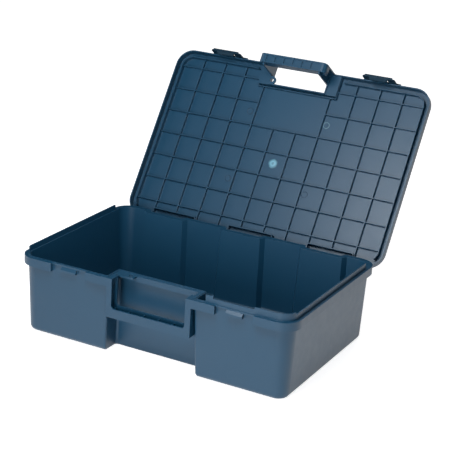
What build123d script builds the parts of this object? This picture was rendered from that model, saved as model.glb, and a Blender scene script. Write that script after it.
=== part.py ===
from build123d import *
from math import cos, radians, sin
import os

# Carrying case for a power saw and its blades: a deep moulded tray, a ribbed lid on three
# rear hinges and two slotted latches. The tray's origin is the middle of its underside,
# +Z is up and the handle side faces -Y. Lengths are millimetres and angles are degrees.
# Both shells are drawn as they stand when the case is shut, and the lid's planes then
# carry it, with its latches, to the open pose in which it rests.

# Overall case
case_width = 455.0
case_depth = 298.0
base_height = 121.0
lid_height = 14.0
seam_gap = 0.3

# Tray walls
tray_wall = 3.0
draft = 2.3
body_corner_radius = 22.0
bottom_radius = 8.0

# Rim band around the tray's mouth
rim_projection = 5.8
band_height = 13.0
rim_cap = 2.5
skirt_wall = 2.5
rim_bay_radius = 3.0

# Hand bay in the front wall
bay_half_width = 71.0
bay_depth = 31.2
bay_corner_radius = 3.5
bay_edge_radius = 3.0
bay_band_height = 9.0

# Tongue that enters the lid's groove
tongue_thickness = 1.9
tongue_outset = 0.5
tongue_side_height = 8.5
tongue_front_height = 11.0
tongue_latch_height = 7.5
tongue_low_height = 1.0
tongue_bay_gap = 16.0
tongue_step_inner = 35.0
tongue_step_outer = 29.0
tongue_rear_inset = 37.0

# Rear channels that house the hinges
hinge_pitch = 140.0
channel_mouth = 76.0
channel_floor = 66.0
channel_depth = 9.0

# Hinges
open_angle = 124.0
hinge_inset = 1.4
hinge_drop = 8.3
knuckle_radius = 4.5
knuckle_pitch = 10.0
knuckle_gap = 0.4
pin_radius = 2.0
pin_clearance = 0.05
pin_head_radius = 3.2
pin_head_length = 1.4
hinge_plate_half_width = 27.5
hinge_plate_height = 27.0
hinge_web_height = 13.0
stop_gap = 0.3
stop_start = 0.6
stop_length = 3.6
stop_thickness = 3.2
arm_root_inset = 6.0

# Tray half of the handle
tray_handle_half_width = 70.0
tray_grip_half_width = 61.0
tray_bar_top = 75.0
tray_bar_height = 14.0
tray_handle_depth = 18.0
tray_handle_radius = 3.0
tray_bar_cells = 5
tray_rib_inset = 3.0
handle_skin = 2.5
handle_inner_radius = 5.0
handle_rib = 2.0

# Lid half of the handle
handle_side_clearance = 2.0
handle_stack_clearance = 2.0
lid_grip_half_width = 48.0
lid_bar_height = 16.0
lid_bar_setback = 1.0
lid_bar_depth = 15.5
lid_web_depth = 18.5
lid_bar_cells = 6
lid_handle_radius = 8.0
lid_recess_depth = 2.0

# Lid shell
lid_wall = 1.8
lid_plate = 2.5
lid_corner_radius = 27.8
lid_edge_radius = 3.5
notch_half_width = 50.0
notch_depth = 34.5
rib_thickness = 1.4
rib_depth = 7.6
deep_rib_depth = 11.0
rib_pitch = 40.0
rib_row_shift = -1.3
inner_rib_clearance = 0.8
frame_half_width = 70.0
frame_depth = 39.2
bay_rib_clearance = 2.5
hinge_pocket_depth = 16.0
hinge_pocket_half_width = 38.0

# Padlock eyes beside the handle
eye_x = -46.0
eye_inset = 28.5
eye_hole_radius = 3.0
eye_wall = 4.0
tray_eye_inset = 21.0
tray_eye_inner_x = -38.0
lid_eye_thickness = 3.0

# Latches
latch_inset = 90.5
latch_width = 55.0
latch_plate = 1.8
latch_length = 25.0
latch_barrel_radius = 2.5
latch_wall_gap = 0.5
latch_top_inset = 3.6
latch_pin_radius = 1.25
latch_side_gap = 0.4
latch_ear = 3.0
latch_corner_radius = 4.0
latch_slots = 5
latch_slot_pitch = 6.5
latch_slot_width = 3.5
latch_slot_height = 10.0
latch_slot_bottom = 5.2
latch_hook_width = 30.0
latch_hook_reach = 4.0
latch_hook_height = 4.2
latch_hook_nose = 1.2
latch_lip = 2.0
latch_lip_height = 2.5
recess_side_gap = 2.5
lug_gap = 0.5
lug_width = 26.0
lug_front_inset = 0.3
lug_nose_height = 3.4

# Positions that follow from the sizes above
half_depth = case_depth / 2
half_width = case_width / 2
body_width = case_width - 2 * rim_projection
body_depth = case_depth - 2 * rim_projection
body_front_y = -body_depth / 2
bay_back_y = body_front_y + bay_depth
tongue_rear_y = half_depth - tongue_rear_inset
notch_back_y = notch_depth - half_depth
frame_back_y = frame_depth - half_depth
hinge_pocket_y = half_depth - hinge_pocket_depth
eye_y = eye_inset - half_depth
tray_eye_front_y = tray_eye_inset - half_depth
latch_x = half_width - latch_inset
cap_z = base_height - rim_cap
band_bottom_z = base_height - band_height
lip_z = base_height + seam_gap
skin_z = lip_z + lid_height
plate_z = skin_z - lid_plate
hinge_y = half_depth - hinge_inset
hinge_z = base_height - hinge_drop
hinge_centres = (-hinge_pitch, 0.0, hinge_pitch)
channel_floor_y = body_depth / 2 - channel_depth
plate_rear_y = channel_floor_y + rim_projection
knuckle_width = knuckle_pitch - knuckle_gap
latch_pivot_y = -half_depth - latch_wall_gap - latch_barrel_radius
latch_pivot_z = skin_z - latch_top_inset
latch_bottom_z = latch_pivot_z - latch_length
latch_back_y = -half_depth - latch_wall_gap
hook_top_z = latch_bottom_z + latch_hook_height
recess_half_width = latch_width / 2 + recess_side_gap
recess_back_y = latch_back_y + latch_hook_reach + lug_gap
tray_handle_bottom_z = tray_bar_top - tray_bar_height
lid_handle_bottom_z = tray_bar_top + handle_stack_clearance
lid_bar_top_z = lid_handle_bottom_z + lid_bar_height
lid_handle_half_width = tray_grip_half_width - handle_side_clearance
inner_rib_half_width = body_width / 2 - tray_wall - inner_rib_clearance
inner_rib_half_depth = body_depth / 2 - tray_wall - inner_rib_clearance
bay_rib_x = bay_half_width + tray_wall + bay_rib_clearance

front_face = Plane.XZ.offset(half_depth)


def on_lid(plane: Plane) -> Plane:
    """Carry a plane of the shut lid to the open pose, about the hinge line."""
    pose = Location((0, hinge_y, hinge_z)) * Location((0, 0, 0), (-open_angle, 0, 0))
    pose = pose * Location((0, -hinge_y, -hinge_z))
    return Plane(pose * plane.location)


def opened(y: float, z: float) -> tuple[float, float]:
    """Return where a side-view point of the shut lid stands when the lid is open."""
    turn = radians(-open_angle)
    across = y - hinge_y
    rise = z - hinge_z
    return (
        hinge_y + across * cos(turn) - rise * sin(turn),
        hinge_z + across * sin(turn) + rise * cos(turn),
    )


def draw_tray_outline(grow: float, with_bay: bool = True) -> None:
    """Draw the tray's plan at its mouth, with the rear channels and perhaps the hand bay."""
    RectangleRounded(body_width, body_depth, body_corner_radius)
    if with_bay:
        with Locations((0, body_front_y)):
            Rectangle(2 * bay_half_width, 2 * (bay_back_y - body_front_y), mode=Mode.SUBTRACT)
    with Locations(*[(x, body_depth / 2) for x in hinge_centres]):
        Polygon(
            (-channel_mouth / 2, 0),
            (channel_mouth / 2, 0),
            (channel_floor / 2, -channel_depth),
            (-channel_floor / 2, -channel_depth),
            align=None,
            mode=Mode.SUBTRACT,
        )
    if grow:
        offset(amount=grow, kind=Kind.INTERSECTION)


def hand_bay(wall: float) -> Part:
    """Return the room that the hand bay, grown by a wall, takes from the tray."""
    with BuildPart() as bay:
        with BuildSketch(Plane.XY.offset(base_height)):
            with Locations((0, body_front_y)):
                Rectangle(2 * (bay_half_width + wall), 2 * (bay_back_y + wall - body_front_y))
        extrude(amount=-base_height, taper=-draft)
        rear_uprights = bay.edges().filter_by(
            lambda edge: edge.bounding_box().size.Z > band_height
            and edge.center().Y > body_front_y
        )
        fillet(rear_uprights, radius=bay_corner_radius + wall)
    return bay.part


def is_bay_edge(edge: Edge) -> bool:
    """Tell whether an edge is an outer corner or a lower edge of the hand bay."""
    box = edge.bounding_box()
    middle = edge.center()
    in_bay = max(abs(middle.X) - bay_half_width, middle.Y - bay_back_y) < body_corner_radius
    below_mouth = box.min.Z < band_bottom_z
    rear_upright = box.size.Z > band_height and middle.Y > body_front_y + body_corner_radius
    return in_bay and below_mouth and not rear_upright


# Outlines of the mouth, seen from above

with BuildSketch() as rim_outline:
    draw_tray_outline(rim_projection)
    bay_corners = rim_outline.vertices().filter_by(
        lambda corner: abs(corner.X) < bay_half_width and corner.Y < 0
    )
    fillet(bay_corners, radius=rim_bay_radius)

with BuildSketch() as tongue_outline:
    draw_tray_outline(tongue_outset)
    with Locations((0, tongue_rear_y)):
        Rectangle(case_width, case_depth, align=(Align.CENTER, Align.MIN), mode=Mode.SUBTRACT)

# The front half of the outline as far as the corners' ends, and its right-hand share

with BuildSketch() as front_zone:
    with Locations((0, body_corner_radius - half_depth)):
        Rectangle(case_width, case_depth, align=(Align.CENTER, Align.MAX))
    with Locations((0, bay_back_y + 2 * tray_wall)):
        Rectangle(2 * bay_rib_x, case_depth, align=(Align.CENTER, Align.MAX))

with BuildSketch() as right_zone:
    with Locations((bay_half_width + tray_wall + tongue_bay_gap, body_corner_radius - half_depth)):
        Rectangle(case_width, case_depth, align=(Align.MIN, Align.MAX))

with BuildSketch() as latch_zone:
    with Locations((latch_x - tongue_step_inner, -half_depth)):
        Rectangle(
            tongue_step_inner + tongue_step_outer,
            2 * body_corner_radius,
            align=(Align.MIN, Align.CENTER),
        )

# Hollow of the tray, tapered for release from the mould

with BuildPart() as tray_hollow:
    with BuildSketch(Plane.XY.offset(base_height)):
        draw_tray_outline(-tray_wall, with_bay=False)
    extrude(amount=tray_wall - base_height, taper=draft)
    fillet(tray_hollow.faces().sort_by(Axis.Z)[0].edges(), radius=bottom_radius - tray_wall)
    add(hand_bay(tray_wall), mode=Mode.SUBTRACT)
    fillet(tray_hollow.edges().filter_by(is_bay_edge), radius=bay_edge_radius)
    with BuildSketch(Plane.XY.offset(base_height)):
        draw_tray_outline(tongue_outset - tongue_thickness)
    extrude(amount=tongue_front_height)

# Tray, its rim, its half of the handle and its hinge brackets

with BuildPart() as base_shell:
    with BuildSketch(Plane.XY.offset(base_height)):
        draw_tray_outline(0, with_bay=False)
    extrude(amount=-base_height, taper=draft)
    fillet(base_shell.faces().sort_by(Axis.Z)[0].edges(), radius=bottom_radius)
    add(hand_bay(0), mode=Mode.SUBTRACT)
    fillet(base_shell.edges().filter_by(is_bay_edge), radius=bay_edge_radius)

    # Handle frame: a U-shaped channel that opens toward the hand, hung over the hand bay
    with BuildSketch(front_face) as tray_handle:
        with Locations((0, tray_handle_bottom_z)):
            Rectangle(
                2 * tray_handle_half_width,
                base_height - tray_handle_bottom_z,
                align=(Align.CENTER, Align.MIN),
            )
        fillet(tray_handle.vertices().group_by(Axis.Y)[0], radius=tray_handle_radius)
        with BuildSketch(mode=Mode.SUBTRACT) as tray_grip:
            with Locations((0, tray_bar_top)):
                Rectangle(
                    2 * tray_grip_half_width,
                    base_height,
                    align=(Align.CENTER, Align.MIN),
                )
            fillet(tray_grip.vertices().group_by(Axis.Y)[0], radius=handle_inner_radius)
    extrude(amount=-tray_handle_depth)
    with BuildSketch(front_face.offset(-handle_skin)):
        with Locations((0, tray_handle_bottom_z + handle_skin)):
            Rectangle(
                2 * (tray_handle_half_width - handle_skin),
                cap_z - tray_handle_bottom_z - handle_skin,
                align=(Align.CENTER, Align.MIN),
            )
    extrude(amount=2 * handle_skin - tray_handle_depth, mode=Mode.SUBTRACT)
    with BuildSketch(Plane.XY.offset(tray_handle_bottom_z + handle_skin)):
        tray_cell = 2 * tray_grip_half_width / tray_bar_cells
        with Locations((0, -half_depth + tray_handle_depth / 2)):
            with GridLocations(tray_cell, 1, tray_bar_cells + 1, 1):
                Rectangle(handle_rib, tray_handle_depth - handle_skin)
    extrude(amount=tray_bar_height - handle_skin - tray_rib_inset)

    # Rim: a flat cap with a skirt that hangs from its outer edge
    with BuildSketch(Plane.XY.offset(cap_z)):
        add(rim_outline.sketch)
    extrude(amount=rim_cap)
    with BuildSketch(Plane.XY.offset(band_bottom_z)) as skirt:
        add(rim_outline.sketch)
        offset(amount=-skirt_wall, kind=Kind.INTERSECTION, mode=Mode.SUBTRACT)
    extrude(amount=band_height)
    with BuildSketch(Plane.XY.offset(base_height - bay_band_height)):
        with Locations((0, tray_handle_depth - half_depth)):
            Rectangle(
                2 * bay_half_width,
                bay_back_y + half_depth - tray_handle_depth,
                align=(Align.CENTER, Align.MIN),
            )
    extrude(amount=bay_band_height - band_height, mode=Mode.SUBTRACT)

    # Tongue: low around the bay and to its left, tall at the sides, taller on the right of
    # the bay and stepped down between the right latch and the tray
    with BuildSketch(Plane.XY.offset(base_height)):
        add(tongue_outline.sketch)
    extrude(amount=tongue_low_height)
    with BuildSketch(Plane.XY.offset(base_height)):
        add(tongue_outline.sketch)
        add(front_zone.sketch, mode=Mode.SUBTRACT)
    extrude(amount=tongue_side_height)
    with BuildSketch(Plane.XY.offset(base_height)):
        add(tongue_outline.sketch)
        add(right_zone.sketch, mode=Mode.INTERSECT)
    extrude(amount=tongue_latch_height)
    with BuildSketch(Plane.XY.offset(base_height)):
        add(tongue_outline.sketch)
        add(right_zone.sketch, mode=Mode.INTERSECT)
        add(latch_zone.sketch, mode=Mode.SUBTRACT)
    extrude(amount=tongue_front_height)

    # Hinge plates, hung from the rim in the rear channels
    with BuildSketch(Plane.XY.offset(base_height)):
        with Locations(*[(x, plate_rear_y) for x in hinge_centres]):
            Rectangle(
                2 * hinge_plate_half_width,
                rim_projection + tray_wall / 2,
                align=(Align.CENTER, Align.MAX),
            )
    extrude(amount=-hinge_plate_height)

    # Hinge knuckles with the heels on which the open lid rests
    knuckle_centres = [x + side * knuckle_pitch for x in hinge_centres for side in (-1, 1)]
    for centre_x in knuckle_centres:
        with BuildSketch(Plane.YZ.offset(centre_x)):
            with Locations((hinge_y, hinge_z)):
                Circle(knuckle_radius)
            Polygon(
                (plate_rear_y - skirt_wall, hinge_z + knuckle_radius),
                (hinge_y, hinge_z + knuckle_radius),
                (hinge_y, hinge_z),
                opened(half_depth + stop_gap, lip_z + stop_start),
                opened(half_depth + stop_gap, lip_z + stop_start + stop_length),
                opened(half_depth + stop_gap + stop_thickness, lip_z + stop_start + stop_length),
                (plate_rear_y - skirt_wall, hinge_z - hinge_web_height),
                align=None,
            )
        extrude(amount=knuckle_width / 2, both=True)
    with BuildSketch(Plane.YZ.offset(-half_width)):
        with Locations((hinge_y, hinge_z)):
            Circle(pin_radius + pin_clearance)
    extrude(amount=case_width, mode=Mode.SUBTRACT)

    # Recesses in the band that let the latch hooks through, with the lugs they catch
    with BuildSketch(Plane.XY.offset(base_height)):
        with Locations((-latch_x, -half_depth), (latch_x, -half_depth)):
            Rectangle(2 * recess_half_width, 2 * (half_depth + recess_back_y))
    extrude(amount=-band_height, mode=Mode.SUBTRACT)
    with BuildSketch(Plane.XY.offset(cap_z)):
        for side in (-1, 1):
            for edge in (-1, 1):
                wall_x = side * latch_x + edge * (recess_half_width + skirt_wall / 2)
                with Locations((wall_x, body_front_y + tray_wall / 2)):
                    Rectangle(
                        skirt_wall,
                        half_depth + body_front_y + tray_wall / 2,
                        align=(Align.CENTER, Align.MAX),
                    )
    extrude(amount=rim_cap - band_height)
    for side in (-1, 1):
        with BuildSketch(Plane.YZ.offset(side * latch_x)):
            lug_front_y = -half_depth + lug_front_inset
            lug_bottom_z = hook_top_z + lug_gap
            Polygon(
                (body_front_y + tray_wall / 2, lug_bottom_z),
                (lug_front_y, lug_bottom_z),
                (lug_front_y, lug_bottom_z + lug_nose_height),
                (recess_back_y, cap_z),
                (recess_back_y, base_height),
                (body_front_y + tray_wall / 2, base_height),
                align=None,
            )
        extrude(amount=lug_width / 2, both=True)

    # Caps that tie the handle's uprights to the rim
    with BuildSketch(Plane.XY.offset(base_height)):
        cap_width = bay_half_width - tray_grip_half_width
        for side in (-1, 1):
            with Locations((side * (tray_grip_half_width + cap_width / 2), -half_depth)):
                Rectangle(cap_width, tray_handle_depth, align=(Align.CENTER, Align.MIN))
    extrude(amount=-rim_cap)

    # Padlock eye, level with the rim beside the handle
    with BuildSketch(Plane.XY.offset(base_height)) as tray_eye:
        rim_bay_x = rim_projection - bay_half_width
        rim_bay_y = bay_back_y - rim_projection
        Polygon(
            (rim_bay_x - skirt_wall, rim_bay_y + skirt_wall),
            (tray_eye_inner_x, rim_bay_y + skirt_wall),
            (tray_eye_inner_x, tray_eye_front_y),
            (rim_bay_x - skirt_wall, tray_eye_front_y),
            align=None,
        )
        fillet(tray_eye.vertices().sort_by(Axis.Y)[:2].sort_by(Axis.X)[-1], radius=eye_wall)
        with Locations((eye_x, eye_y)):
            Circle(eye_hole_radius, mode=Mode.SUBTRACT)
    extrude(amount=-rim_cap)

    add(tray_hollow.part, mode=Mode.SUBTRACT)

# Lid, drawn shut and carried open by its planes

with BuildSketch() as lid_outline:
    RectangleRounded(case_width, case_depth, lid_corner_radius)
    with Locations((0, -half_depth)):
        Rectangle(2 * notch_half_width, 2 * (notch_back_y + half_depth), mode=Mode.SUBTRACT)

with BuildSketch() as hinge_pockets:
    with Locations(*[(x, half_depth) for x in hinge_centres]):
        Rectangle(2 * hinge_pocket_half_width, 2 * (half_depth - hinge_pocket_y))

with BuildPart() as lid_shell:
    with BuildSketch(on_lid(Plane.XY.offset(skin_z))):
        add(lid_outline.sketch)
    extrude(amount=-lid_height)
    lid_upward = Axis(on_lid(Plane.XY).origin, on_lid(Plane.XY).z_dir)
    fillet(lid_shell.faces().sort_by(lid_upward)[-1].edges(), radius=lid_edge_radius)
    with BuildSketch(on_lid(Plane.XY.offset(lip_z))):
        add(lid_outline.sketch)
        offset(amount=-lid_wall, kind=Kind.INTERSECTION)
    extrude(amount=plate_z - lip_z, mode=Mode.SUBTRACT)

    # Deep rib inside the groove, open at the hand bay and along the rear
    with BuildSketch(on_lid(Plane.XY.offset(skin_z - deep_rib_depth))):
        RectangleRounded(
            2 * inner_rib_half_width,
            2 * inner_rib_half_depth,
            body_corner_radius - tray_wall - inner_rib_clearance,
        )
        offset(amount=-rib_thickness, mode=Mode.SUBTRACT)
        with Locations((0, -inner_rib_half_depth)):
            Rectangle(2 * bay_rib_x, rib_pitch, mode=Mode.SUBTRACT)
        with Locations((0, hinge_pocket_y)):
            Rectangle(case_width, case_depth, align=(Align.CENTER, Align.MIN), mode=Mode.SUBTRACT)
    extrude(amount=deep_rib_depth - lid_plate)

    # Frames of the hinge pockets
    with BuildSketch(on_lid(Plane.XY.offset(skin_z - deep_rib_depth))):
        add(hinge_pockets.sketch)
        offset(amount=rib_thickness, kind=Kind.INTERSECTION)
        add(hinge_pockets.sketch, mode=Mode.SUBTRACT)
        with Locations((0, half_depth - lid_wall / 2)):
            Rectangle(case_width, case_depth, align=(Align.CENTER, Align.MIN), mode=Mode.SUBTRACT)
    extrude(amount=deep_rib_depth - lid_plate)

    # Grid of shallow ribs, with a plain panel behind the hand bay
    columns = round(inner_rib_half_width / rib_pitch - 0.5)
    rows = round(inner_rib_half_depth / rib_pitch)
    with BuildSketch(on_lid(Plane.XY.offset(skin_z - rib_depth))) as rib_grid:
        with GridLocations(rib_pitch, 1, 2 * columns, 1):
            Rectangle(rib_thickness, 2 * inner_rib_half_depth - rib_thickness)
        with Locations((0, rib_row_shift)):
            with GridLocations(1, rib_pitch, 1, 2 * rows + 1):
                Rectangle(2 * inner_rib_half_width - rib_thickness, rib_thickness)
        with Locations((0, rib_row_shift - rib_pitch - rib_thickness / 2)):
            Rectangle(
                3 * rib_pitch - rib_thickness,
                case_depth,
                align=(Align.CENTER, Align.MAX),
                mode=Mode.SUBTRACT,
            )
        with Locations((0, frame_back_y)):
            Rectangle(
                2 * frame_half_width,
                case_depth,
                align=(Align.CENTER, Align.MAX),
                mode=Mode.SUBTRACT,
            )
        add(hinge_pockets.sketch, mode=Mode.SUBTRACT)
        # Frame around the hand bay
        with Locations((0, -half_depth)):
            Rectangle(
                2 * frame_half_width + rib_thickness,
                2 * (half_depth + frame_back_y) + rib_thickness,
            )
            Rectangle(
                2 * frame_half_width - rib_thickness,
                2 * (half_depth + frame_back_y) - rib_thickness,
                mode=Mode.SUBTRACT,
            )
        with Locations((0, -half_depth + lid_wall / 2)):
            Rectangle(case_width, case_depth, align=(Align.CENTER, Align.MAX), mode=Mode.SUBTRACT)
    extrude(amount=rib_depth - lid_plate)

    # Raised flats between the frame and the notch
    with BuildSketch(on_lid(Plane.XY.offset(skin_z - deep_rib_depth))):
        flat_width = frame_half_width - notch_half_width - lid_wall / 2
        for side in (-1, 1):
            flat_x = side * (frame_half_width - flat_width / 2)
            with Locations((flat_x, -half_depth + lid_wall / 2)):
                Rectangle(
                    flat_width,
                    half_depth + notch_back_y + lid_wall / 2,
                    align=(Align.CENTER, Align.MIN),
                )
    extrude(amount=deep_rib_depth - lid_plate)

    # Hinge arms, which reach down behind the tray's rim to the pins
    arm_centres = [x + step * knuckle_pitch for x in hinge_centres for step in (-2, 0, 2)]
    for centre_x in arm_centres:
        with BuildSketch(on_lid(Plane.YZ.offset(centre_x))):
            with Locations((hinge_y, hinge_z)):
                Circle(knuckle_radius)
            Polygon(
                (half_depth - lid_wall - arm_root_inset, plate_z),
                (half_depth - lid_wall / 2, plate_z),
                (half_depth, lip_z + 2 * seam_gap),
                (hinge_y + knuckle_radius, hinge_z),
                (hinge_y - knuckle_radius, hinge_z),
                (hinge_y - knuckle_radius, lip_z + seam_gap),
                align=None,
            )
        extrude(amount=knuckle_width / 2, both=True)
    with BuildSketch(on_lid(Plane.YZ.offset(-half_width))):
        with Locations((hinge_y, hinge_z)):
            Circle(pin_radius + pin_clearance)
    extrude(amount=case_width, mode=Mode.SUBTRACT)

    # Handle half: front skin, webs that follow the notch, and a ribbed bar
    with BuildSketch(on_lid(front_face)) as lid_handle_skin:
        with Locations((0, lid_handle_bottom_z)):
            Rectangle(
                2 * lid_handle_half_width,
                plate_z - lid_handle_bottom_z,
                align=(Align.CENTER, Align.MIN),
            )
        fillet(lid_handle_skin.vertices().group_by(Axis.Y)[0], radius=lid_handle_radius)
        with Locations((0, lid_bar_top_z)):
            Rectangle(
                2 * lid_grip_half_width,
                case_depth,
                align=(Align.CENTER, Align.MIN),
                mode=Mode.SUBTRACT,
            )
    extrude(amount=-handle_skin)
    with BuildSketch(on_lid(Plane.XY.offset(lid_handle_bottom_z + handle_skin))):
        for side in (-1, 1):
            web_x = side * (lid_grip_half_width + handle_skin / 2)
            with Locations((web_x, lid_bar_setback - half_depth)):
                Rectangle(handle_skin, lid_web_depth, align=(Align.CENTER, Align.MIN))
    extrude(amount=skin_z - deep_rib_depth / 2 - lid_handle_bottom_z)
    with BuildSketch(on_lid(front_face)) as lid_bar:
        with Locations((0, lid_handle_bottom_z)):
            Rectangle(
                2 * lid_handle_half_width,
                lid_bar_height,
                align=(Align.CENTER, Align.MIN),
            )
        fillet(lid_bar.vertices().group_by(Axis.Y)[0], radius=lid_handle_radius)
    extrude(amount=-lid_bar_depth)
    with BuildSketch(on_lid(Plane.XY.offset(lid_handle_bottom_z))):
        lid_cell = 2 * lid_grip_half_width / lid_bar_cells
        with Locations((0, -half_depth + lid_bar_depth / 2)):
            with GridLocations(lid_cell, 1, lid_bar_cells, 1):
                Rectangle(lid_cell - handle_rib, lid_bar_depth - 2 * handle_skin)
    extrude(amount=lid_recess_depth, mode=Mode.SUBTRACT)
    with BuildSketch(on_lid(Plane.XY.offset(lid_bar_top_z))):
        with Locations((0, -half_depth + lid_bar_depth / 2)):
            with GridLocations(lid_cell, 1, lid_bar_cells, 1):
                Rectangle(lid_cell - handle_rib, lid_bar_depth - 2 * handle_skin)
    cell_depth = lid_bar_height - lid_recess_depth - handle_skin
    extrude(amount=-cell_depth, mode=Mode.SUBTRACT)

    # Padlock eye, which lies on the tray's eye when the case is shut
    with BuildSketch(on_lid(Plane.XY.offset(lip_z))):
        with Locations((eye_x, eye_y)):
            Circle(eye_hole_radius + eye_wall)
        with Locations((-notch_half_width, eye_y)):
            Rectangle(
                eye_x + notch_half_width,
                2 * (eye_hole_radius + eye_wall),
                align=(Align.MIN, Align.CENTER),
            )
        with Locations((eye_x, eye_y)):
            Circle(eye_hole_radius, mode=Mode.SUBTRACT)
    extrude(amount=lid_eye_thickness)

    # Ears that carry the latches
    for side in (-1, 1):
        for edge in (-1, 1):
            ear_x = side * latch_x + edge * (latch_width / 2 + latch_side_gap + latch_ear / 2)
            with BuildSketch(on_lid(Plane.YZ.offset(ear_x))):
                with Locations((latch_pivot_y, latch_pivot_z)):
                    Circle(latch_barrel_radius)
                ear_root_z = latch_pivot_z + latch_barrel_radius - lid_edge_radius / 2
                Polygon(
                    (latch_pivot_y, latch_pivot_z + latch_barrel_radius),
                    (lid_wall / 2 - half_depth, ear_root_z),
                    (lid_wall / 2 - half_depth, lip_z + lid_wall),
                    (-half_depth, lip_z + lid_wall),
                    (latch_pivot_y - latch_barrel_radius, latch_pivot_z),
                    align=None,
                )
            extrude(amount=latch_ear / 2, both=True)
    with BuildSketch(on_lid(Plane.YZ.offset(-half_width))):
        with Locations((latch_pivot_y, latch_pivot_z)):
            Circle(latch_pin_radius + pin_clearance)
    extrude(amount=case_width, mode=Mode.SUBTRACT)

# Latches: a slotted plate below a barrel, with a hook behind its lower edge

os.makedirs("parts", exist_ok=True)
for name, side in (("latch_left", -1), ("latch_right", 1)):
    with BuildPart() as latch:
        with BuildSketch(on_lid(Plane.YZ.offset(side * latch_x))):
            with Locations((latch_pivot_y, latch_pivot_z)):
                Circle(latch_barrel_radius)
        extrude(amount=latch_width / 2, both=True)
        with BuildSketch(on_lid(Plane.XZ.offset(-latch_back_y))) as latch_face:
            with Locations((side * latch_x, latch_bottom_z)):
                Rectangle(latch_width, latch_length, align=(Align.CENTER, Align.MIN))
            fillet(latch_face.vertices().group_by(Axis.Y)[0], radius=latch_corner_radius)
            slot_middle_z = latch_bottom_z + latch_slot_bottom + latch_slot_height / 2
            with Locations((side * latch_x, slot_middle_z)):
                with GridLocations(latch_slot_pitch, 1, latch_slots, 1):
                    Rectangle(latch_slot_width, latch_slot_height, mode=Mode.SUBTRACT)
        extrude(amount=latch_plate)
        with BuildSketch(on_lid(Plane.YZ.offset(side * latch_x))):
            Polygon(
                (latch_back_y - latch_plate / 2, latch_bottom_z),
                (latch_back_y, latch_bottom_z),
                (latch_back_y + latch_hook_reach, hook_top_z - latch_hook_nose),
                (latch_back_y + latch_hook_reach, hook_top_z),
                (latch_back_y - latch_plate / 2, hook_top_z),
                align=None,
            )
        extrude(amount=latch_hook_width / 2, both=True)
        with BuildSketch(on_lid(Plane.YZ.offset(side * latch_x))):
            Polygon(
                (latch_back_y - latch_plate / 2, latch_bottom_z),
                (latch_back_y - latch_plate - latch_lip, latch_bottom_z),
                (latch_back_y - latch_plate, latch_bottom_z + latch_lip_height),
                (latch_back_y - latch_plate / 2, latch_bottom_z + latch_lip_height),
                align=None,
            )
        extrude(amount=latch_width / 2 - latch_corner_radius, both=True)
        with BuildSketch(on_lid(Plane.YZ.offset(side * latch_x - latch_width))):
            with Locations((latch_pivot_y, latch_pivot_z)):
                Circle(latch_pin_radius + pin_clearance)
        extrude(amount=2 * latch_width, mode=Mode.SUBTRACT)
    latch.part.label = name
    export_step(latch.part, f"parts/{name}.step")

# Pins

with BuildPart() as hinge_pins:
    pin_length = 5 * knuckle_pitch + 2 * knuckle_gap
    for centre_x in hinge_centres:
        with BuildSketch(Plane.YZ.offset(centre_x - pin_length / 2)):
            with Locations((hinge_y, hinge_z)):
                Circle(pin_radius)
        extrude(amount=pin_length)
        for end, direction in ((centre_x - pin_length / 2, -1), (centre_x + pin_length / 2, 1)):
            with BuildSketch(Plane.YZ.offset(end)):
                with Locations((hinge_y, hinge_z)):
                    Circle(pin_head_radius)
            extrude(amount=direction * pin_head_length)

with BuildPart() as latch_pins:
    latch_pin_length = latch_width + 2 * (latch_side_gap + latch_ear)
    for side in (-1, 1):
        with BuildSketch(on_lid(Plane.YZ.offset(side * latch_x))):
            with Locations((latch_pivot_y, latch_pivot_z)):
                Circle(latch_pin_radius)
        extrude(amount=latch_pin_length / 2, both=True)

base_shell.part.label = "base_shell"
export_step(base_shell.part, "parts/base_shell.step")
lid_shell.part.label = "lid_shell"
export_step(lid_shell.part, "parts/lid_shell.step")
hinge_pins.part.label = "hinge_pins"
export_step(hinge_pins.part, "parts/hinge_pins.step")
latch_pins.part.label = "latch_pins"
export_step(latch_pins.part, "parts/latch_pins.step")
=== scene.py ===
"""Dress and light a saw blade storage case.

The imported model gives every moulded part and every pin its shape. This script gives each
of them a finish, adds the marks that the moulding tool leaves inside the lid, and sets up
a plain pale studio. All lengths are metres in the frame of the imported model: the origin
is the middle of the tray's underside, +Z is up and the handle side faces -Y.
"""

import logging
import math
from dataclasses import dataclass
from enum import Enum

import bpy
import numpy as np
from mathutils import Matrix, Vector


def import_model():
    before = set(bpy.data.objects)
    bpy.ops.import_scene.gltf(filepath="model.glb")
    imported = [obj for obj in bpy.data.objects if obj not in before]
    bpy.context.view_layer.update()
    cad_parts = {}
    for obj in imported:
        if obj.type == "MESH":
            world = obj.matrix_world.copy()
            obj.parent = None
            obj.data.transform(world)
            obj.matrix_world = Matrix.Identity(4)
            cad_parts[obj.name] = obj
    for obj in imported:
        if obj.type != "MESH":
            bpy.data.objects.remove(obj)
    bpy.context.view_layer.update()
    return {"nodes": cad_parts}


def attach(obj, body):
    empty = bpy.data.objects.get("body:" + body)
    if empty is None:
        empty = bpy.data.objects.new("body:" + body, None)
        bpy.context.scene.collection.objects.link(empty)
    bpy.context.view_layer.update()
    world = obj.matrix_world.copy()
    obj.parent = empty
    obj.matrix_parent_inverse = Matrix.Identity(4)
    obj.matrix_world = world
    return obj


LOG = logging.getLogger("saw_case")
IMAGE_SIDE = 452
MILLIMETRE = 0.001
PLASTIC_IOR = 1.5
GRAIN_SCALE = 1500.0
GRAIN_DETAIL = 2.0
GRAIN_DEPTH = 0.02 * MILLIMETRE
CASE_MIDDLE = (0.0, 0.0, 0.15)

Colour = tuple[float, float, float]
Point = tuple[float, float, float]
Socket = bpy.types.NodeSocket


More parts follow.
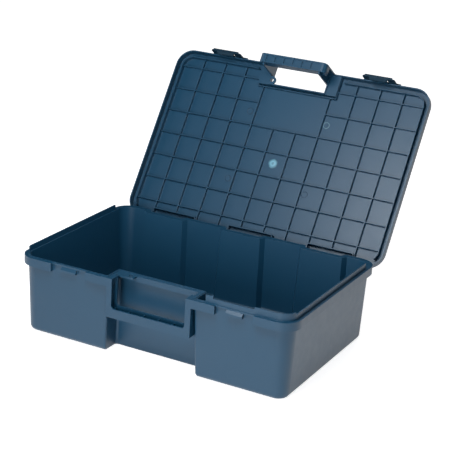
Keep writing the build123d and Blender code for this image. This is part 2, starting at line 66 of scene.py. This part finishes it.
class Slot(Enum):
    """The record's material slots, whose names the finishes share."""

    SHELL = "shell_plastic"
    LATCH = "latch_plastic"
    STEEL = "pin_steel"


class Graph:
    """A material's node tree with short calls for the nodes that the finishes use."""

    def __init__(self, name: str) -> None:
        """Start an empty material.

        Args:
            name: The material's name.
        """
        self.material = bpy.data.materials.new(name)
        self.material.use_nodes = True
        self.tree = self.material.node_tree
        self.tree.nodes.clear()
        self.position = self.add("ShaderNodeTexCoord").outputs["Object"]

    def add(self, kind: str, **inputs: object) -> bpy.types.Node:
        """Add a node and fill its inputs.

        Args:
            kind: The node's Blender type.
            **inputs: Input names, with underscores for spaces, and their values or the
                sockets to link to them.

        Returns:
            The new node.
        """
        node = self.tree.nodes.new(kind)
        for name, value in inputs.items():
            self.feed(node.inputs[name.replace("_", " ")], value)
        return node

    def feed(self, socket: Socket, value: object) -> None:
        """Link a socket to an output, or set its own value.

        Args:
            socket: The input.
            value: An output socket, a number or a tuple.
        """
        if isinstance(value, bpy.types.NodeSocket):
            self.tree.links.new(value, socket)
        else:
            socket.default_value = value

    def noise(self, scale: float, detail: float) -> Socket:
        """Return a noise value over the piece.

        Args:
            scale: Lumps per metre.
            detail: Octaves of finer lumps.

        Returns:
            The noise texture's value, about 0.5 on average.
        """
        node = self.add("ShaderNodeTexNoise", Vector=self.position, Scale=scale, Detail=detail)
        return node.outputs[0]

    def reckon(self, operation: str, first: object, second: object = 0.0) -> Socket:
        """Return the result of a sum.

        Args:
            operation: The sum's Blender name.
            first: Its first socket or number.
            second: Its second, which a sum of one value ignores.

        Returns:
            The result.
        """
        node = self.tree.nodes.new("ShaderNodeMath")
        node.operation = operation
        self.feed(node.inputs[0], first)
        self.feed(node.inputs[1], second)
        return node.outputs[0]

    def measure(self, operation: str, second: Point = (0.0, 0.0, 0.0)) -> Socket:
        """Return a length that is worked out from the place on the piece and a point.

        Args:
            operation: The vector sum's Blender name.
            second: The point, which a sum of one place ignores.

        Returns:
            The length in metres.
        """
        node = self.tree.nodes.new("ShaderNodeVectorMath")
        node.operation = operation
        self.feed(node.inputs[0], self.position)
        self.feed(node.inputs[1], second)
        return node.outputs["Value"]

    def blend(self, low: float, high: float, share: Socket) -> Socket:
        """Return a number that runs from low to high as share runs from 0 to 1."""
        node = self.add("ShaderNodeMapRange", Value=share, To_Min=low, To_Max=high)
        return node.outputs[0]

    def tint(self, first: Colour, second: Colour, share: Socket) -> Socket:
        """Return a colour that runs from first to second as share runs from 0 to 1."""
        node = self.tree.nodes.new("ShaderNodeMix")
        node.data_type = "RGBA"
        self.feed(node.inputs["Factor"], share)
        self.feed(node.inputs[6], (*first, 1.0))
        self.feed(node.inputs[7], (*second, 1.0))
        return node.outputs[2]

    def bump(self, height: Socket, depth: float, normal: Socket | None = None) -> Socket:
        """Return a normal that a height pattern disturbs.

        Args:
            height: The pattern, from 0 to 1.
            depth: Metres from its lowest to its highest.
            normal: The normal under it, or None for the surface's own.

        Returns:
            The disturbed normal.
        """
        node = self.add("ShaderNodeBump", Height=height, Strength=1.0, Distance=depth)
        if normal is not None:
            self.feed(node.inputs["Normal"], normal)
        return node.outputs[0]

    def finish(self, shader: bpy.types.Node) -> bpy.types.Material:
        """Join a shader to the output and return the material."""
        output = self.tree.nodes.new("ShaderNodeOutputMaterial")
        self.tree.links.new(shader.outputs[0], output.inputs["Surface"])
        return self.material


@dataclass(frozen=True)
class MouldedPlastic:
    """Satin injection-moulded plastic with a fine spark grain and eased edges."""

    name: str
    colour: Colour
    flow_colour: Colour
    roughness: float = 0.42
    roughness_spread: float = 0.06
    specular: float = 0.5
    edge_radius: float = 0.45 * MILLIMETRE
    flow_scale: float = 14.0
    flow_detail: float = 4.0
    gloss_scale: float = 84.0
    gloss_detail: float = 3.0
    sink_scale: float = 22.0
    sink_detail: float = 1.0
    sink_depth: float = 0.12 * MILLIMETRE
    bevel_samples: int = 6

    def build(self) -> bpy.types.Material:
        """Build the material.

        The colour drifts between two close tints in lumps as wide as the melt's flow. The
        normal is the bevelled edge's, disturbed by broad shallow sinks and then by a fine
        grain.

        Returns:
            The material.
        """
        graph = Graph(self.name)
        bevel = graph.add("ShaderNodeBevel", Radius=self.edge_radius)
        bevel.samples = self.bevel_samples
        hollows = graph.noise(self.sink_scale, self.sink_detail)
        sinks = graph.bump(hollows, self.sink_depth, bevel.outputs[0])
        grain = graph.bump(graph.noise(GRAIN_SCALE, GRAIN_DETAIL), GRAIN_DEPTH, sinks)
        flow = graph.noise(self.flow_scale, self.flow_detail)
        rough = graph.blend(
            self.roughness - self.roughness_spread,
            self.roughness + self.roughness_spread,
            graph.noise(self.gloss_scale, self.gloss_detail),
        )
        shader = graph.add(
            "ShaderNodeBsdfPrincipled",
            Base_Color=graph.tint(self.colour, self.flow_colour, flow),
            Roughness=rough,
            IOR=PLASTIC_IOR,
            Specular_IOR_Level=self.specular,
            Normal=grain,
        )
        return graph.finish(shader)


@dataclass(frozen=True)
class DrawnSteel:
    """Satin steel wire, drawn along X, with fine lines along its length."""

    name: str
    colour: Colour = (0.42, 0.43, 0.44)
    roughness: float = 0.3
    roughness_spread: float = 0.08
    line_scale: float = 2600.0
    line_detail: float = 2.0
    stretch: float = 0.02
    line_depth: float = 0.01 * MILLIMETRE

    def build(self) -> bpy.types.Material:
        """Build the material, whose noise is stretched along X into drawing lines."""
        graph = Graph(self.name)
        mapping = graph.add(
            "ShaderNodeMapping", Vector=graph.position, Scale=(self.stretch, 1.0, 1.0)
        )
        graph.position = mapping.outputs[0]
        lines = graph.noise(self.line_scale, self.line_detail)
        rough = graph.blend(
            self.roughness - self.roughness_spread,
            self.roughness + self.roughness_spread,
            lines,
        )
        shader = graph.add(
            "ShaderNodeBsdfPrincipled",
            Base_Color=(*self.colour, 1.0),
            Metallic=1.0,
            Roughness=rough,
            Normal=graph.bump(lines, self.line_depth),
        )
        return graph.finish(shader)


@dataclass(frozen=True)
class GateBlush:
    """Plastic that paled where the melt entered the mould, in a ring round a dark middle."""

    name: str
    centre: Point
    radius: float
    ring_share: float = 0.42
    pale: Colour = (0.16, 0.38, 0.5)
    base: Colour = (0.0035, 0.05, 0.1)
    roughness: float = 0.4
    ragged_share: float = 0.25
    ragged_scale: float = 160.0
    ragged_detail: float = 3.0

    def build(self) -> bpy.types.Material:
        """Build the material, whose colour follows the distance from the ring's crest."""
        graph = Graph(self.name)
        shift = graph.measure("DISTANCE", self.centre)
        lumps = graph.noise(self.ragged_scale, self.ragged_detail)
        ragged = graph.blend(1.0 - self.ragged_share, 1.0 + self.ragged_share, lumps)
        reach = graph.reckon("MULTIPLY", shift, ragged)
        crest = self.radius * self.ring_share
        away = graph.reckon("ABSOLUTE", graph.reckon("SUBTRACT", reach, crest))
        ring = graph.add("ShaderNodeMapRange", Value=away, From_Max=self.radius - crest)
        shader = graph.add(
            "ShaderNodeBsdfPrincipled",
            Base_Color=graph.tint(self.pale, self.base, ring.outputs[0]),
            Roughness=self.roughness,
            IOR=PLASTIC_IOR,
            Normal=graph.bump(graph.noise(GRAIN_SCALE, GRAIN_DETAIL), GRAIN_DEPTH),
        )
        return graph.finish(shader)


@dataclass(frozen=True)
class Hinge:
    """The lid's hinge line and the angle at which it rests."""

    y: float = 147.6 * MILLIMETRE
    z: float = 112.7 * MILLIMETRE
    opening: float = math.radians(124.0)

    def carry(self, points: np.ndarray) -> np.ndarray:
        """Turn points of the shut lid to where they stand when it is open.

        Args:
            points: Rows of x, y, z.

        Returns:
            The rows after a turn by the opening angle about the hinge line.
        """
        across = points[..., 1] - self.y
        rise = points[..., 2] - self.z
        turn_cos = math.cos(-self.opening)
        turn_sin = math.sin(-self.opening)
        opened = points.copy()
        opened[..., 1] = self.y + across * turn_cos - rise * turn_sin
        opened[..., 2] = self.z + across * turn_sin + rise * turn_cos
        return opened


def grid_mesh(name: str, points: np.ndarray, is_ring: bool) -> bpy.types.Object:
    """Make a closed mesh from circles of points, one circle to a row.

    Args:
        name: The object's name.
        points: An array of rows x columns x 3, whose columns close on themselves.
        is_ring: Whether the last row joins the first. If not, a small flat face closes
            each end.

    Returns:
        The object, at the origin, with smooth faces.
    """
    rows, columns = points.shape[:2]
    bands = rows if is_ring else rows - 1
    row, column = np.meshgrid(np.arange(bands), np.arange(columns), indexing="ij")
    below = (row + 1) % rows
    after = (column + 1) % columns
    corners = np.stack(
        (
            row * columns + column,
            row * columns + after,
            below * columns + after,
            below * columns + column,
        ),
        axis=-1,
    )
    faces = corners.reshape(-1, 4).tolist()
    if not is_ring:
        circle = np.arange(columns)
        faces.append(circle[::-1].tolist())
        faces.append((circle + bands * columns).tolist())
    mesh = bpy.data.meshes.new(name)
    mesh.from_pydata(points.reshape(-1, 3).tolist(), [], faces)
    mesh.polygons.foreach_set("use_smooth", np.ones(len(faces), bool))
    piece = bpy.data.objects.new(name, mesh)
    bpy.context.scene.collection.objects.link(piece)
    return piece


@dataclass
class LidMarks:
    """Marks that the moulding tool left on the plate inside the lid."""

    hinge: Hinge
    plate_z: float = 132.8 * MILLIMETRE
    middle_x: float = -2.3 * MILLIMETRE
    ejector_x: float = 69.0 * MILLIMETRE
    ejector_y: float = 60.0 * MILLIMETRE
    middle_y: float = -4.8 * MILLIMETRE
    ejector_radius: float = 5.0 * MILLIMETRE
    ejector_lip: float = 0.8 * MILLIMETRE
    ejector_rise: float = 0.5
    gate_y: float = 15.2 * MILLIMETRE
    gate_radius: float = 8.6 * MILLIMETRE
    gate_height: float = 0.6 * MILLIMETRE
    gate_sink: float = 0.4 * MILLIMETRE
    gate_pole: float = 0.02
    dome_share: float = 0.4
    stub_share: float = 0.22
    stub_power: float = 4.0
    circle_points: int = 48
    ring_points: int = 16
    gate_points: int = 24

    def turned(self, x: float, y: float, profile: np.ndarray) -> np.ndarray:
        """Turn a profile about an upright axis of the shut lid and open the lid.

        The point at profile (r, h) and angle a is (x + r cos a, y + r sin a, plate - h):
        the lid's inside faces down while it is shut.

        Args:
            x: The axis's x.
            y: The axis's y.
            profile: Rows of radius and height above the plate's inner face.

        Returns:
            A grid of points, one row for each point of the profile.
        """
        angle = np.linspace(0.0, 2.0 * math.pi, self.circle_points, endpoint=False)
        radius = profile[:, :1]
        height = profile[:, 1:]
        across = x + radius * np.cos(angle)
        along = y + radius * np.sin(angle)
        level = np.broadcast_to(self.plate_z - height, across.shape)
        return self.hinge.carry(np.stack((across, along, level), axis=-1))

    def ejector_mark(self, name: str, x: float, y: float) -> bpy.types.Object:
        """Make one ejector-pin mark: a flat ring, half sunk in the plate.

        Its section is an ellipse, so at angle a the radius is R - lip cos a and the height
        is rise sin a.
        """
        lip = self.ejector_lip
        edge = np.linspace(0.0, 2.0 * math.pi, self.ring_points, endpoint=False)
        radius = self.ejector_radius - lip * np.cos(edge)
        height = lip * self.ejector_rise * np.sin(edge)
        profile = np.column_stack((radius, height))
        return grid_mesh(name, self.turned(x, y, profile), is_ring=True)

    def gate_mark(self, name: str) -> bpy.types.Object:
        """Make the gate's mark: a low dome with the stub of the sprue in its middle.

        The height is a quarter wave of the radius, plus a small bump at the centre. A flat
        foot closes the mark below, sunk in the plate.
        """
        share = np.linspace(self.gate_pole, 1.0, self.gate_points)
        dome = self.gate_height * self.dome_share * np.cos(share * math.pi / 2.0)
        stub = self.gate_height * np.exp(-((share / self.stub_share) ** self.stub_power))
        top = np.column_stack((share * self.gate_radius, dome + stub))
        foot_share = np.array([1.0, self.gate_pole])
        foot_height = np.full(2, -self.gate_sink)
        foot = np.column_stack((foot_share * self.gate_radius, foot_height))
        profile = np.vstack((top, foot))
        points = self.turned(self.middle_x, self.gate_y, profile)
        return grid_mesh(name, points, is_ring=False)

    def build(self) -> list[bpy.types.Object]:
        """Make all the marks, of which one ejector ring has a painted highlight: a pale plastic
        where the lid mirrors the small lamp.

        Returns:
            The pieces.
        """
        # Painted highlight: a pale plastic for the ejector ring in the right-hand part of the
        # lid, standing in for the small lamp's reflection there.
        glint_mark = MouldedPlastic(
            "glint_pin_mark_plastic", (0.07, 0.15, 0.2), (0.1, 0.19, 0.24), roughness=0.35
        ).build()
        faint = MouldedPlastic(
            "pin_mark_plastic", (0.003, 0.032, 0.07), (0.0045, 0.038, 0.08), roughness=0.5
        ).build()
        pieces = []
        for side_x in (-1.0, 1.0):
            for side_y in (-1.0, 1.0):
                name = f"ejector_mark_{len(pieces) + 1}"
                mark_y = self.middle_y + side_y * self.ejector_y
                mark = self.ejector_mark(name, self.middle_x + side_x * self.ejector_x, mark_y)
                # The right-hand ring nearer the lid's free edge gets the painted highlight.
                is_glinting = side_x > 0.0 > side_y
                mark.data.materials.append(glint_mark if is_glinting else faint)
                pieces.append(mark)
        centre = self.hinge.carry(np.array([self.middle_x, self.gate_y, self.plate_z]))
        blush = GateBlush("gate_blush", tuple(centre.tolist()), self.gate_radius)
        gate = self.gate_mark("gate_mark")
        gate.data.materials.append(blush.build())
        pieces.append(gate)
        for piece in pieces:
            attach(piece, "lid")
        return pieces


@dataclass
class Case:
    """The moulded shells, latches and pins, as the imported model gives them."""

    nodes: dict[str, bpy.types.Object]
    shell: MouldedPlastic = MouldedPlastic(
        Slot.SHELL.value, (0.0035, 0.044, 0.094), (0.0055, 0.051, 0.104)
    )
    latch: MouldedPlastic = MouldedPlastic(
        Slot.LATCH.value,
        (0.0015, 0.018, 0.036),
        (0.0025, 0.022, 0.042),
        roughness=0.5,
        specular=0.2,
    )
    steel: DrawnSteel = DrawnSteel(Slot.STEEL.value)

    def dress(self) -> None:
        """Give every node its finish."""
        shell = self.shell.build()
        latch = self.latch.build()
        steel = self.steel.build()
        finishes = {
            "base_shell": shell,
            "lid_shell": shell,
            "latch_left": latch,
            "latch_right": latch,
            "hinge_pins": steel,
            "latch_pins": steel,
        }
        for name, finish in finishes.items():
            node = self.nodes[name]
            node.data.materials.clear()
            node.data.materials.append(finish)
            LOG.info("%s wears %s", name, finish.name)


@dataclass(frozen=True)
class Lamp:
    """A square soft lamp."""

    name: str
    place: Point
    side: float
    watts: float
    target: Point = CASE_MIDDLE

    def build(self) -> bpy.types.Object:
        """Hang the lamp so that it faces its target, unseen by the camera itself."""
        light = bpy.data.lights.new(self.name, "AREA")
        light.shape = "SQUARE"
        light.size = self.side
        light.energy = self.watts
        hung = bpy.data.objects.new(self.name, light)
        hung.location = self.place
        aim = Vector(self.target) - Vector(self.place)
        hung.rotation_euler = aim.to_track_quat("-Z", "Y").to_euler()
        hung.visible_camera = False
        bpy.context.scene.collection.objects.link(hung)
        return hung


@dataclass
class Studio:
    """A plain pale floor and backdrop, lit by soft lamps.

    A wide low lamp in front does most of the work. The small one hangs close over the case
    and is mirrored in the right-hand part of the lid, which pales towards that side.
    """

    floor_side: float = 14.0
    floor_drop: float = 0.2 * MILLIMETRE
    floor_colour: Colour = (0.8, 0.8, 0.8)
    near_glow: float = 0.85
    far_glow: float = 1.0
    near_reach: float = 1.2
    far_reach: float = 3.0
    lamps: tuple[Lamp, ...] = (
        Lamp("front_lamp", (0.2, -2.5, 0.4), 1.2, 43.0),
        Lamp("left_lamp", (-2.4, -0.3, 1.2), 1.4, 17.0),
        Lamp("right_lamp", (2.4, -0.3, 1.0), 1.4, 6.0),
        Lamp("rear_lamp", (0.0, 1.8, 2.0), 1.4, 14.0),
        Lamp("lid_lamp", (0.04, -0.42, 0.81), 0.35, 6.2, target=(0.24, 0.22, 0.2)),
    )

    def build_floor(self) -> bpy.types.Object:
        """Make the floor, a level square that glows for the camera and in gloss.

        The glow is weaker near the case, so that its shadow shows, and grows to white with
        the distance from the origin.

        Returns:
            The floor.
        """
        half = self.floor_side / 2.0
        mesh = bpy.data.meshes.new("floor")
        low = -self.floor_drop
        corners = [(-half, -half, low), (half, -half, low), (half, half, low), (-half, half, low)]
        mesh.from_pydata(corners, [], [(0, 1, 2, 3)])
        floor = bpy.data.objects.new("floor", mesh)
        bpy.context.scene.collection.objects.link(floor)
        graph = Graph("floor_paper")
        paper = graph.add("ShaderNodeBsdfDiffuse", Color=(*self.floor_colour, 1.0))
        path = graph.tree.nodes.new("ShaderNodeLightPath")
        camera_ray = path.outputs["Is Camera Ray"]
        seen = graph.reckon("MAXIMUM", camera_ray, path.outputs["Is Glossy Ray"])
        outward = graph.add(
            "ShaderNodeMapRange",
            Value=graph.measure("LENGTH"),
            From_Min=self.near_reach,
            From_Max=self.far_reach,
            To_Min=self.near_glow,
            To_Max=self.far_glow,
        )
        strength = graph.reckon("MULTIPLY", outward.outputs[0], seen)
        glow = graph.add("ShaderNodeEmission", Strength=strength)
        both = graph.tree.nodes.new("ShaderNodeAddShader")
        graph.feed(both.inputs[0], paper.outputs[0])
        graph.feed(both.inputs[1], glow.outputs[0])
        mesh.materials.append(graph.finish(both))
        return floor

    def build_world(self) -> None:
        """Make the world: white to the camera and dark to everything else."""
        world = bpy.data.worlds.new("studio")
        bpy.context.scene.world = world
        world.use_nodes = True
        tree = world.node_tree
        tree.nodes.clear()
        path = tree.nodes.new("ShaderNodeLightPath")
        back = tree.nodes.new("ShaderNodeBackground")
        back.inputs["Color"].default_value = (1.0, 1.0, 1.0, 1.0)
        tree.links.new(path.outputs["Is Camera Ray"], back.inputs["Strength"])
        output = tree.nodes.new("ShaderNodeOutputWorld")
        tree.links.new(back.outputs[0], output.inputs["Surface"])

    def build(self) -> None:
        """Make the floor and the world and hang the lamps."""
        self.build_floor()
        self.build_world()
        for lamp in self.lamps:
            lamp.build()


@dataclass
class Viewpoint:
    """A long-lens camera at the front right, a little above the open case."""

    focal_pixels: float = 1432.74
    azimuth: float = math.radians(28.4592)
    elevation: float = math.radians(19.3107)
    roll: float = math.radians(2.9114)
    distance: float = 2135.02 * MILLIMETRE
    target: Point = (-10.982 * MILLIMETRE, 0.0, 179.768 * MILLIMETRE)
    centre_x: float = 195.0
    centre_y: float = 220.0
    sensor: float = 36.0

    def build(self) -> None:
        """Make the camera and make it the scene's."""
        lens = bpy.data.cameras.new("camera")
        lens.sensor_fit = "HORIZONTAL"
        lens.sensor_width = self.sensor
        lens.lens = self.focal_pixels / IMAGE_SIDE * self.sensor
        lens.shift_x = (IMAGE_SIDE / 2.0 - self.centre_x) / IMAGE_SIDE
        lens.shift_y = (self.centre_y - IMAGE_SIDE / 2.0) / IMAGE_SIDE
        back = Vector(
            (
                math.sin(self.azimuth) * math.cos(self.elevation),
                -math.cos(self.azimuth) * math.cos(self.elevation),
                math.sin(self.elevation),
            )
        )
        level = Vector((0.0, 0.0, 1.0)).cross(back).normalized()
        rise = back.cross(level)
        right = level * math.cos(self.roll) + rise * math.sin(self.roll)
        up = rise * math.cos(self.roll) - level * math.sin(self.roll)
        turn = Matrix((right, up, back)).transposed()
        place = Vector(self.target) + back * self.distance
        camera = bpy.data.objects.new("camera", lens)
        camera.matrix_world = Matrix.Translation(place) @ turn.to_4x4()
        bpy.context.scene.collection.objects.link(camera)
        bpy.context.scene.camera = camera


def main() -> None:
    """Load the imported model, dress it and set up the studio."""
    logging.basicConfig(level=logging.INFO, format="%(name)s: %(message)s")
    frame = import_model()
    bpy.context.scene.view_settings.view_transform = "Standard"
    Case(frame["nodes"]).dress()
    for piece in LidMarks(Hinge()).build():
        LOG.info("%s has %d faces", piece.name, len(piece.data.polygons))
    Studio().build()
    Viewpoint().build()


if __name__ == "__main__":
    main()
